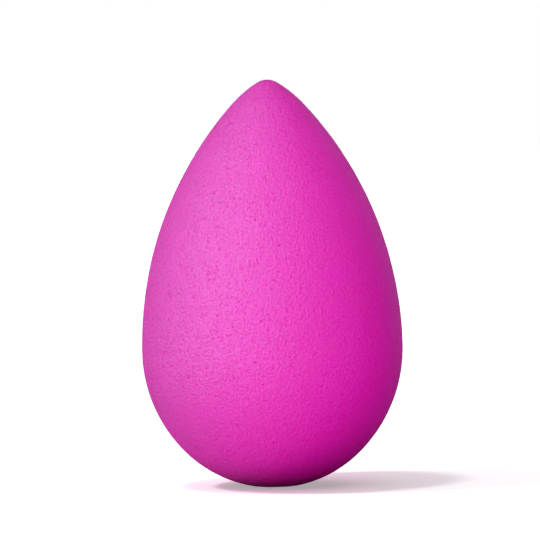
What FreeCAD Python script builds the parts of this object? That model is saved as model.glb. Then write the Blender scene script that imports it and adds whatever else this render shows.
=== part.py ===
"""Teardrop makeup sponge: one piece of open-cell foam, rounded at the base and pointed at the top.

Millimetres. +Z runs up the axis of the teardrop. The origin is the centre of the small flat foot
that the soft base settles to where the sponge stands.
"""

import FreeCAD, Part
import math
import os
import Sketcher

# Driving dimensions: alias, value, what it is. Lengths are in mm and turns in degrees.
DIMENSIONS = [
    ("height", 62.4, "overall height, from the foot to the tip"),
    ("belly_diameter", 40.0, "largest diameter"),
    ("belly_height", 21.1, "height of the largest diameter above the foot"),
    ("foot_diameter", 6.4, "flat patch that the sponge stands on"),
    ("belly_turn", 45.0, "angle of the arc from the largest diameter down to where the base arc starts"),
    ("shoulder_radius", 19.5, "radius of the short arc where the flank bends in towards the tip"),
    ("shoulder_turn", 16.0, "angle that the shoulder arc turns through"),
    ("tip_radius", 2.8, "radius of the rounded point"),
]

PARTS_FOLDER = "parts"


def make_sheet(doc):
    """The spreadsheet that holds the driving dimensions, one row each."""
    sheet = doc.addObject("Spreadsheet::Sheet", "Dimensions")
    for row, (alias, value, meaning) in enumerate(DIMENSIONS, start=1):
        sheet.set(f"A{row}", alias)
        sheet.set(f"B{row}", str(value))
        sheet.set(f"C{row}", meaning)
        sheet.setAlias(f"B{row}", alias)
    doc.recompute()
    return sheet


def origin_plane(body, role):
    """One of the body's own origin planes, by its role."""
    return next(plane for plane in body.Origin.OriginFeatures if plane.Role == role)


def arc(centre_x, centre_z, radius, start, end):
    """A circular arc in the sketch, anticlockwise between two angles in radians."""
    circle = Part.Circle(FreeCAD.Vector(centre_x, centre_z, 0), FreeCAD.Vector(0, 0, 1), radius)
    return Part.ArcOfCircle(circle, start, end)


def line(x0, z0, x1, z1):
    """A straight edge in the sketch."""
    return Part.LineSegment(FreeCAD.Vector(x0, z0, 0), FreeCAD.Vector(x1, z1, 0))


def first_outline(sheet):
    """Half of the teardrop's outline, near enough for the sketch's constraints to settle it.

    From the foot's centre: foot, base arc, belly arc, flank arc, shoulder arc, tip arc, axis.
    The flank is drawn here as if it met the tip with no shoulder, and the shoulder is set across that
    corner, a quarter of it below.
    """
    belly = sheet.belly_diameter / 2
    foot = sheet.foot_diameter / 2
    tip_centre = sheet.height - sheet.tip_radius

    belly_turn = math.radians(sheet.belly_turn)
    across = math.cos(belly_turn)
    down = math.sin(belly_turn)
    round_depth = sheet.belly_height + foot**2 / (2 * belly)
    base_share = (1 - down) / across
    belly_radius = (round_depth - base_share * belly) / (down - base_share * (1 - across))
    base_radius = (belly - belly_radius * (1 - across)) / across
    base_centre = math.sqrt(base_radius**2 - foot**2)

    rise = tip_centre - sheet.belly_height
    flank_radius = (belly**2 + rise**2 - sheet.tip_radius**2) / (2 * (belly - sheet.tip_radius))
    flank_turn = math.atan2(rise, flank_radius - belly)
    shoulder_turn = math.radians(sheet.shoulder_turn)
    shoulder_start = flank_turn - shoulder_turn / 4
    shoulder_end = shoulder_start + shoulder_turn
    shoulder_reach = flank_radius - sheet.shoulder_radius
    shoulder_x = belly - flank_radius + shoulder_reach * math.cos(shoulder_start)
    shoulder_z = sheet.belly_height + shoulder_reach * math.sin(shoulder_start)

    return [
        line(0, 0, foot, 0),
        arc(0, base_centre, base_radius, math.atan2(-base_centre, foot), -belly_turn),
        arc(belly - belly_radius, sheet.belly_height, belly_radius, -belly_turn, 0),
        arc(belly - flank_radius, sheet.belly_height, flank_radius, 0, shoulder_start),
        arc(shoulder_x, shoulder_z, sheet.shoulder_radius, shoulder_start, shoulder_end),
        arc(0, tip_centre, sheet.tip_radius, shoulder_end, math.pi / 2),
        line(0, sheet.height, 0, 0),
    ]


def constrain(sketch):
    """Makes the outline closed and smooth, and ties its sizes to the spreadsheet."""
    foot, base, belly, flank, shoulder, tip, axis = range(7)
    start, end, centre = range(1, 4)
    origin = (-1, start)
    vertical_axis = -2
    shape_rules = [
        ("Coincident", foot, start, *origin),
        ("Horizontal", foot),
        ("Coincident", foot, end, base, start),
        ("Tangent", base, end, belly, start),
        ("Tangent", belly, end, flank, start),
        ("Tangent", flank, end, shoulder, start),
        ("Tangent", shoulder, end, tip, start),
        ("Coincident", tip, end, axis, start),
        ("Coincident", axis, end, foot, start),
        ("Vertical", axis),
        ("PointOnObject", base, centre, vertical_axis),
        ("PointOnObject", tip, centre, vertical_axis),
        ("Horizontal", belly, centre, belly, end),
    ]
    for rule in shape_rules:
        sketch.addConstraint(Sketcher.Constraint(*rule))

    size_rules = [
        ("foot_reach", "Dimensions.foot_diameter * 0.5 mm", ("DistanceX", *origin, foot, end)),
        ("belly_reach", "Dimensions.belly_diameter * 0.5 mm", ("DistanceX", *origin, belly, end)),
        ("belly_level", "Dimensions.belly_height * 1 mm", ("DistanceY", *origin, belly, end)),
        ("tip_level", "Dimensions.height * 1 mm", ("DistanceY", *origin, tip, end)),
        ("belly_bend", "Dimensions.belly_turn * 1 deg", ("Angle", belly)),
        ("shoulder_round", "Dimensions.shoulder_radius * 1 mm", ("Radius", shoulder)),
        ("shoulder_bend", "Dimensions.shoulder_turn * 1 deg", ("Angle", shoulder)),
        ("tip_round", "Dimensions.tip_radius * 1 mm", ("Radius", tip)),
    ]
    for name, size, (kind, *where) in size_rules:
        value = sketch.evalExpression(size).Value
        if kind == "Angle":
            value = math.radians(value)
        index = sketch.addConstraint(Sketcher.Constraint(kind, *where, value))
        sketch.renameConstraint(index, name)
        sketch.setExpression(f"Constraints.{name}", size)


def make_foam_body(doc, sheet):
    """The sponge: the teardrop outline turned once round the vertical axis."""
    body = doc.addObject("PartDesign::Body", "FoamBody")
    body.Label = "foam_body"
    sketch = body.newObject("Sketcher::SketchObject", "TeardropOutline")
    sketch.AttachmentSupport = [(origin_plane(body, "XZ_Plane"), "")]
    sketch.MapMode = "FlatFace"
    sketch.addGeometry(first_outline(sheet), False)
    constrain(sketch)
    doc.recompute()

    teardrop = body.newObject("PartDesign::Revolution", "Teardrop")
    teardrop.Profile = sketch
    teardrop.ReferenceAxis = (sketch, ["V_Axis"])
    teardrop.Angle = 360
    doc.recompute()
    return body


def check(doc, pieces):
    """Stops the build if anything failed to compute or a piece isn't a sound solid."""
    failed = [item.Label for item in doc.Objects if {"Invalid", "Error"} & set(item.State)]
    if failed:
        raise RuntimeError(f"these failed to compute: {failed}")
    for piece in pieces:
        if piece.Shape.isNull() or not piece.Shape.isValid() or len(piece.Shape.Solids) != 1:
            raise RuntimeError(f"{piece.Label} isn't one valid solid")


def main():
    doc = FreeCAD.newDocument("MakeupSponge")
    sheet = make_sheet(doc)
    pieces = [make_foam_body(doc, sheet)]
    check(doc, pieces)
    os.makedirs(PARTS_FOLDER, exist_ok=True)
    for piece in pieces:
        piece.Shape.exportStep(os.path.join(PARTS_FOLDER, f"{piece.Label}.step"))
        box = piece.Shape.BoundBox
        print(
            f"{piece.Label}: {box.XLength:.2f} x {box.YLength:.2f} x {box.ZLength:.2f} mm,"
            f" {piece.Shape.Volume / 1000:.2f} cm3, centre of mass {piece.Shape.CenterOfMass.z:.2f} mm up"
        )


main()
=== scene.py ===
"""The look of a teardrop makeup sponge: one piece of magenta foam with a fine, pitted surface.

Metres, in the frame of the CAD model. +Z runs up the axis of the teardrop, and the camera looks along
+Y, so the picture's left is -X.
"""

import math
import random

import bpy
import numpy as np
from mathutils import Matrix, Vector, kdtree, noise


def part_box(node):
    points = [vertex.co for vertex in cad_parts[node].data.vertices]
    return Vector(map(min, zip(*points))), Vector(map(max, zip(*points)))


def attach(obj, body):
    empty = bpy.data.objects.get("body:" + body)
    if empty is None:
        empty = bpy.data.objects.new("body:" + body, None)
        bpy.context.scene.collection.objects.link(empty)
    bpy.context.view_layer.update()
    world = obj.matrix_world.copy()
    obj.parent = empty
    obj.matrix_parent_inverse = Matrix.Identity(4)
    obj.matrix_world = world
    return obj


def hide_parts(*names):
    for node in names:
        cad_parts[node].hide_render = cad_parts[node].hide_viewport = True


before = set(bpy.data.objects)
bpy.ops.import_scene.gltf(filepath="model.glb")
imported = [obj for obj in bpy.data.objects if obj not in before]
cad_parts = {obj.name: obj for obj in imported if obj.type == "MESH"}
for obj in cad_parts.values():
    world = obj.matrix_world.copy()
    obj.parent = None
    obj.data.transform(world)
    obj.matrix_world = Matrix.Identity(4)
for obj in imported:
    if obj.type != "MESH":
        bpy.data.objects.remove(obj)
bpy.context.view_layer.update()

MM = 0.001

# The camera. Pixels are those of the photograph, a square: its side, where the middle of the sponge's
# axis lies in it, and the focal length.
PHOTO_SIDE = 540
AXIS_MIDDLE_PIXEL = (271.0, 282.8)
FOCAL_PIXELS = 3910
CAMERA_DISTANCE = 600 * MM
CAMERA_ELEVATION = math.radians(2)
CAMERA_ROLL = math.radians(-1.17)
SENSOR_WIDTH = 36

# Squares along each edge of the cube that is rounded into the sponge. Its sides lie on a chart, in columns
# and rows, and each fills a share of its place there.
SQUARES_ACROSS = 288
CHART_GRID = (3, 2)
CHART_FILL = 0.98

# The CAD outline: decimals to which heights count as one level, steps along it, and how far its small
# corners are softened, with the bell curve's reach as a multiple of that.
LEVEL_DIGITS = 7
OUTLINE_STEPS = 2400
OUTLINE_SOFTNESS = 0.5 * MM
BELL_REACH = 4
# The least distance from the axis to divide by.
TINY = 1e-12

# The foam's relief: size of its lumps, ripples and grain, and how far they move the surface in or out.
LUMP_SIZE, LUMP_HEIGHT = 16 * MM, 0.06 * MM
RIPPLE_SIZE, RIPPLE_HEIGHT = 1.6 * MM, 0.012 * MM
GRAIN_SIZE, GRAIN_HEIGHT = 0.2 * MM, 0.045 * MM
# Foam cells that the surface cuts open: spacing, reach as a share of it, and depth.
CELL_SIZE, CELL_REACH, CELL_DEPTH = 0.45 * MM, 0.5, 0.03 * MM
PORES = [
    # count, smallest and largest radius, depth as a share of the radius
    (1000, 0.12 * MM, 0.18 * MM, 0.25),
    (4500, 0.08 * MM, 0.12 * MM, 0.25),
]
PORE_SEED = 7

# The foam's tone, from deep at 0 to pale at 1: where it starts, and how far the relief and the finest grain
# shift it. The relief's shift is painted shade: deeper tone in cut cells, in pores and in the grain's
# hollows.
# The finest grain is noise in the material: its features to the metre, levels of detail and depth.
START_TONE = -0.6
GRAIN_SHADE, CELL_SHADE, PORE_SHADE, FINE_TONE = 0.2, 0.15, 0.8, 2.3
FINE_SCALE = 9000
FINE_DETAIL = 1
FINE_DEPTH = 0.025 * MM

# The foam's colour at both ends of the tone. The deep end also serves as painted shade in cells, pores and
# the grain's hollows.
FOAM_DEEP_AND_SHADE, FOAM_PALE = (0.83, 0.0, 0.44, 1), (0.86, 0.006, 0.525, 1)
FOAM_ROUGHNESS = 0.9
# A faint, rough coat gives the cell walls their haze: its weight at both ends of the tone, its roughness and
# gloss, and how much more relief it shows than the colour does.
HAZE_DEEP, HAZE_PALE = 0.0, 0.065
HAZE_ROUGHNESS = 0.75
HAZE_IOR = 4
HAZE_DEPTH = 0.05 * MM

# Lamps: name, azimuth from the camera towards the picture's left, elevation and width in degrees, and
# the brightness that a white surface facing the lamp would have.
FOAM_LAMPS = [
    ("front_high", 10, 35, 40, 0.41),
    ("front_low", 6, 5, 60, 0.53),
    ("back_left", 145, 12, 50, 0.48),
    ("back", 190, 10, 30, 0.45),
    ("top", 0, 85, 50, 0.10),
]
# Softboxes that only gloss sees: two give the haze on the foam's lit side, and one its pale right edge.
SOFTBOXES = [
    ("softbox_high", 40, 30, 25, 10.0),
    ("softbox_low", 65, 14, 25, 4.0),
    ("softbox_rim", 205, 10, 40, 4.0),
]
SOFTBOX_COLOUR = (0.8, 1.0, 1.4)
# Lamps for the floor alone. With the floor's own light, they take it past white.
FLOOR_LAMPS = [
    ("floor_key", 80, 50, 8, 0.39),
    ("floor_high", 60, 70, 8, 0.26),
    ("floor_wide", 75, 84, 100, 0.40),
]

# The floor: its side, the share of light that it throws back up, and the light of its own that is seen.
FLOOR_SIDE = 60.0
FLOOR_BOUNCE = 0.62
FLOOR_LIFT = 0.37
WHITE = (1, 1, 1, 1)


def smooth_ends(values, softness, sign):
    """Softens a run of values with a bell curve.

    Past each end the run carries on in mirror image, which is turned over where sign is -1.
    """
    reach = BELL_REACH * softness
    bell = np.exp(-0.5 * (np.arange(-reach, reach + 1) / softness) ** 2)
    before = values[0] + sign * (values[reach:0:-1] - values[0])
    after = values[-1] + sign * (values[-2:-reach - 2:-1] - values[-1])
    return np.convolve(np.concatenate([before, values, after]), bell / bell.sum(), "valid")


def half_outline(node):
    """Radius and height along the CAD solid's outline, in even steps from the foot's centre to the tip."""
    points = np.array([vertex.co for vertex in node.data.vertices])
    levels, level_of_point = np.unique(points[:, 2].round(LEVEL_DIGITS), return_inverse=True)
    widest = np.zeros(len(levels))
    np.maximum.at(widest, level_of_point, np.hypot(points[:, 0], points[:, 1]))
    radius = np.concatenate([[0], widest])
    height = np.concatenate([[levels[0]], levels])

    run = np.concatenate([[0], np.cumsum(np.hypot(np.diff(radius), np.diff(height)))])
    even = np.linspace(0, run[-1], OUTLINE_STEPS)
    softness = int(OUTLINE_SOFTNESS / even[1])
    radius = smooth_ends(np.interp(even, run, radius), softness, sign=-1)
    height = smooth_ends(np.interp(even, run, height), softness, sign=1)
    return np.abs(radius), height


def rounded_cube(count):
    """Directions, squares and chart of a cube rounded into a ball, with count squares along an edge.

    The chart gives each corner of each square its place on a sheet that holds the cube's six sides.
    """
    steps = np.arange(count + 1)
    across, up = (grid.ravel() for grid in np.meshgrid(steps, steps, indexing="ij"))
    corner = (across * (count + 1) + up).reshape(count + 1, count + 1)
    corners = [corner[:-1, :-1], corner[1:, :-1], corner[1:, 1:], corner[:-1, 1:]]
    squares = np.stack(corners, -1).reshape(-1, 4)
    place = np.stack([across, up], 1) / count
    inset_place = place[squares] * CHART_FILL + (1 - CHART_FILL) / 2
    sides, side_squares, side_charts = [], [], []
    for axis in range(3):
        for row, level in enumerate((0, count)):
            first, second = (axis + 2) % 3, (axis + 1) % 3
            if level:
                first, second = second, first
            side = np.empty((len(across), 3), int)
            side[:, axis] = level
            side[:, first] = across
            side[:, second] = up
            side_charts.append((inset_place + (axis, row)) / CHART_GRID)
            side_squares.append(squares + len(sides) * len(across))
            sides.append(side)

    # Points on the cube's edges belong to two or three sides and are merged into one.
    lattice = np.concatenate(sides)
    keys = lattice @ ((count + 1) ** np.arange(3))
    _, kept, merged = np.unique(keys, return_index=True, return_inverse=True)
    # The tangent keeps the squares about the same size all over the ball.
    directions = np.tan((lattice[kept] / count * 2 - 1) * math.pi / 4)
    directions /= np.linalg.norm(directions, axis=1, keepdims=True)
    return directions, merged[np.concatenate(side_squares)], np.concatenate(side_charts)


def wrap(directions, outline):
    """Points and normals of the sponge for directions on a ball, with equal areas kept equal."""
    radius, height = outline
    rise = np.gradient(height)
    widening = np.gradient(radius)
    step = np.hypot(rise, widening)
    area = np.concatenate([[0], np.cumsum((radius[1:] + radius[:-1]) / 2 * step[1:])])
    share = (directions[:, 2] + 1) / 2 * area[-1]

    sideways = np.hypot(directions[:, 0], directions[:, 1])
    around = directions[:, :2] / np.maximum(sideways, TINY)[:, None]
    points = np.column_stack([
        around * np.interp(share, area, radius)[:, None],
        np.interp(share, area, height),
    ])
    normals = np.column_stack([
        around * np.interp(share, area, rise / step)[:, None],
        -np.interp(share, area, widening / step),
    ])
    return points, normals


def noise_at(points, size):
    """Smooth noise between about -1 and 1 at each point, with features of the given size."""
    return np.array([noise.noise(point) for point in (points / size).tolist()])


def pore_depths(points, outline):
    """Depth of the pore at each point, and how deep into a pore the point lies, from 0 to 1."""
    draw = random.Random(PORE_SEED)
    depth = np.zeros(len(points))
    inside = np.zeros(len(points))
    for count, smallest, largest, share in PORES:
        ways = np.array([[draw.gauss(0, 1) for _ in range(3)] for _ in range(count)])
        centres, _ = wrap(ways / np.linalg.norm(ways, axis=1, keepdims=True), outline)
        radii = np.array([draw.uniform(smallest, largest) for _ in range(count)])
        tree = kdtree.KDTree(count)
        for index, centre in enumerate(centres.tolist()):
            tree.insert(centre, index)
        tree.balance()
        nearest = [tree.find(point)[1:] for point in points.tolist()]
        index, distance = (np.array(column) for column in zip(*nearest))
        bowl = np.clip(1 - (distance / radii[index]) ** 2, 0, 1)
        depth = np.maximum(depth, bowl * radii[index] * share)
        inside = np.maximum(inside, bowl)
    return depth, inside


def cell_depths(points):
    """How deep each point lies in a cut cell, from 0 to 1."""
    nearest = [noise.voronoi(point)[0][0] for point in (points / CELL_SIZE).tolist()]
    return np.clip(1 - (np.array(nearest) / CELL_REACH) ** 2, 0, 1)


def relief(points, outline):
    """How far the foam's surface lies out from its plain form at each point, and the foam's tone there, with
    painted shade in its cells, pores and the grain's hollows.
    """
    depth, pore = pore_depths(points, outline)
    cell = cell_depths(points)
    grain = noise_at(points, GRAIN_SIZE)
    height = LUMP_HEIGHT * noise_at(points, LUMP_SIZE)
    height += RIPPLE_HEIGHT * noise_at(points, RIPPLE_SIZE)
    height += GRAIN_HEIGHT * grain - CELL_DEPTH * cell - depth
    # Painted shade: the tone drops in cut cells, in pores and where the grain is low, and rises on raised
    # grain.
    tone_and_shade = START_TONE + GRAIN_SHADE * grain - CELL_SHADE * cell - PORE_SHADE * pore
    return height, tone_and_shade


def make_foam(outline):
    """The sponge's mesh: the CAD outline turned round, with lumps, grain, cells and pores in it."""
    directions, squares, chart = rounded_cube(SQUARES_ACROSS)
    points, normals = wrap(directions, outline)
    height, tone_and_shade = relief(points, outline)
    points = points + normals * height[:, None]
    # The foot stays flat on the floor.
    points[:, 2] = np.maximum(points[:, 2], 0)

    mesh = bpy.data.meshes.new("foam_teardrop")
    mesh.from_pydata(points.tolist(), [], squares.tolist())
    mesh.uv_layers.new(name="OFBake").uv.foreach_set("vector", chart.ravel())
    # The tone is kept on the mesh, with its painted shade in the cells, pores and the grain's hollows.
    mesh.attributes.new("tone_and_shade", "FLOAT", "POINT").data.foreach_set("value", tone_and_shade)
    mesh.shade_smooth()
    mesh.materials.append(foam_material())
    piece = bpy.data.objects.new("foam_teardrop", mesh)
    bpy.context.scene.collection.objects.link(piece)
    return piece


def add_node(tree, kind, settings=None, **inputs):
    """Adds a node. Each input is a value, or the output of another node."""
    node = tree.nodes.new(kind)
    for name, value in (settings or {}).items():
        setattr(node, name, value)
    for name, value in inputs.items():
        socket = node.inputs[name.replace("_", " ")]
        if isinstance(value, bpy.types.NodeSocket):
            tree.links.new(value, socket)
        else:
            socket.default_value = value
    return node


def combine(tree, operation, first, second):
    """Two numbers combined by a Math node, with the result kept between 0 and 1."""
    node = add_node(tree, "ShaderNodeMath", {"operation": operation, "use_clamp": True})
    tree.links.new(first, node.inputs[0])
    tree.links.new(second, node.inputs[1])
    return node.outputs["Value"]


def between(tree, factor, low, high):
    """A number that goes from low to high as the factor goes from 0 to 1."""
    return add_node(tree, "ShaderNodeMapRange", Value=factor, To_Min=low, To_Max=high).outputs["Result"]


def foam_material():
    """Matte magenta foam with hazier cell walls, and painted shade: paler cell walls and deeper colour in
    the cells and pores.
    """
    material = bpy.data.materials.new("magenta_foam")
    material.use_nodes = True
    tree = material.node_tree
    shader = tree.nodes["Principled BSDF"]
    shader.inputs["Roughness"].default_value = FOAM_ROUGHNESS
    shader.inputs["Specular IOR Level"].default_value = 0
    shader.inputs["Coat Roughness"].default_value = HAZE_ROUGHNESS
    shader.inputs["Coat IOR"].default_value = HAZE_IOR

    place = add_node(tree, "ShaderNodeTexCoord").outputs["Object"]
    fine = add_node(tree, "ShaderNodeTexNoise", Vector=place, Scale=FINE_SCALE, Detail=FINE_DETAIL)
    coarse_tone_and_shade = add_node(tree, "ShaderNodeAttribute", {"attribute_name": "tone_and_shade"}).outputs["Fac"]
    tone_and_shade = combine(tree, "ADD", between(tree, fine.outputs["Fac"], 0, FINE_TONE), coarse_tone_and_shade)
    # The ramp paints shade: the deep colour fills cells, pores and the grain's hollows, beside the fine
    # grain's random tone.
    colour = add_node(tree, "ShaderNodeValToRGB", Fac=tone_and_shade)
    for stop, shade in zip(colour.color_ramp.elements, (FOAM_DEEP_AND_SHADE, FOAM_PALE)):
        stop.color = shade
    bump = add_node(tree, "ShaderNodeBump", Height=tone_and_shade, Distance=FINE_DEPTH).outputs["Normal"]
    haze_bump = add_node(tree, "ShaderNodeBump", Height=coarse_tone_and_shade, Distance=HAZE_DEPTH, Normal=bump)

    tree.links.new(colour.outputs["Color"], shader.inputs["Base Color"])
    tree.links.new(between(tree, tone_and_shade, HAZE_DEEP, HAZE_PALE), shader.inputs["Coat Weight"])
    tree.links.new(bump, shader.inputs["Normal"])
    tree.links.new(haze_bump.outputs["Normal"], shader.inputs["Coat Normal"])
    return material


def backdrop_factor(tree):
    """1 for rays from the camera and for gloss and glass, which all show the white background, else 0."""
    path = add_node(tree, "ShaderNodeLightPath").outputs
    factor = path["Is Camera Ray"]
    for kind in ("Is Glossy Ray", "Is Transmission Ray"):
        factor = combine(tree, "MAXIMUM", factor, path[kind])
    return factor


def floor_material():
    """White with some light of its own where the background shows, and greyer to light that bounces."""
    material = bpy.data.materials.new("white_floor")
    material.use_nodes = True
    tree = material.node_tree
    shader = tree.nodes["Principled BSDF"]
    shader.inputs["Roughness"].default_value = 1
    shader.inputs["Specular IOR Level"].default_value = 0
    shader.inputs["Emission Color"].default_value = WHITE
    seen = backdrop_factor(tree)
    tree.links.new(between(tree, seen, FLOOR_BOUNCE, 1), shader.inputs["Base Color"])
    tree.links.new(between(tree, seen, 0, FLOOR_LIFT), shader.inputs["Emission Strength"])
    return material


def make_floor():
    """A wide white floor, which shows the sponge's shadow."""
    half = FLOOR_SIDE / 2
    corners = [(-half, -half, 0), (half, -half, 0), (half, half, 0), (-half, half, 0)]
    mesh = bpy.data.meshes.new("floor")
    mesh.from_pydata(corners, [], [(0, 1, 2, 3)])
    mesh.materials.append(floor_material())
    floor = bpy.data.objects.new("floor", mesh)
    bpy.context.scene.collection.objects.link(floor)
    return floor


def make_world():
    """A world that is white behind everything and gives no light of its own."""
    world = bpy.data.worlds.new("studio")
    world.use_nodes = True
    tree = world.node_tree
    background = tree.nodes["Background"]
    background.inputs["Color"].default_value = WHITE
    tree.links.new(backdrop_factor(tree), background.inputs["Strength"])
    bpy.context.scene.world = world


def make_lamp(lit, name, azimuth, elevation, width, brightness):
    """A soft lamp far away, which lights the objects of one collection evenly from one direction."""
    lamp = bpy.data.objects.new(name, bpy.data.lights.new(name, "SUN"))
    lamp.data.angle = math.radians(width)
    lamp.data.energy = math.pi * brightness
    turn = math.radians(azimuth)
    tilt = math.radians(elevation)
    level = Vector((-math.sin(turn), -math.cos(turn), 0))
    towards = level * math.cos(tilt) + Vector((0, 0, math.sin(tilt)))
    lamp.rotation_euler = towards.to_track_quat("Z", "Y").to_euler()
    bpy.context.scene.collection.objects.link(lamp)
    lamp.light_linking.receiver_collection = lit
    return lamp


def make_camera(middle):
    """The camera at the photograph's viewing angle, with a small shift to frame the sponge as it does."""
    camera = bpy.data.objects.new("camera", bpy.data.cameras.new("camera"))
    back = Vector((0, -math.cos(CAMERA_ELEVATION), math.sin(CAMERA_ELEVATION)))
    camera.location = middle + back * CAMERA_DISTANCE
    turn = back.to_track_quat("Z", "Y").to_matrix() @ Matrix.Rotation(CAMERA_ROLL, 3, "Z")
    camera.rotation_euler = turn.to_euler()
    camera.data.sensor_width = SENSOR_WIDTH
    camera.data.lens = FOCAL_PIXELS / PHOTO_SIDE * SENSOR_WIDTH
    camera.data.shift_x = 0.5 - AXIS_MIDDLE_PIXEL[0] / PHOTO_SIDE
    camera.data.shift_y = AXIS_MIDDLE_PIXEL[1] / PHOTO_SIDE - 0.5
    bpy.context.scene.collection.objects.link(camera)
    bpy.context.scene.camera = camera


def receivers(name, piece):
    """A collection that says which object a lamp lights. It isn't in the scene itself."""
    lit = bpy.data.collections.new(name)
    lit.objects.link(piece)
    return lit


def make_studio(piece, height):
    """Floor, world, lamps and camera. The sponge and the floor each have lamps of their own."""
    floor = make_floor()
    make_world()
    lit_foam = receivers("lit_foam", piece)
    for lamp in FOAM_LAMPS:
        make_lamp(lit_foam, *lamp)
    for softbox in SOFTBOXES:
        lamp = make_lamp(lit_foam, *softbox)
        lamp.data.color = SOFTBOX_COLOUR
        lamp.visible_diffuse = False
    lit_floor = receivers("lit_floor", floor)
    for lamp in FLOOR_LAMPS:
        make_lamp(lit_floor, *lamp)
    make_camera(Vector((0, 0, height / 2)))
    bpy.context.scene.view_settings.view_transform = "Standard"


foam = make_foam(half_outline(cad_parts["foam_body"]))
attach(foam, "root")
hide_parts("foam_body")
make_studio(foam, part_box("foam_body")[1].z)
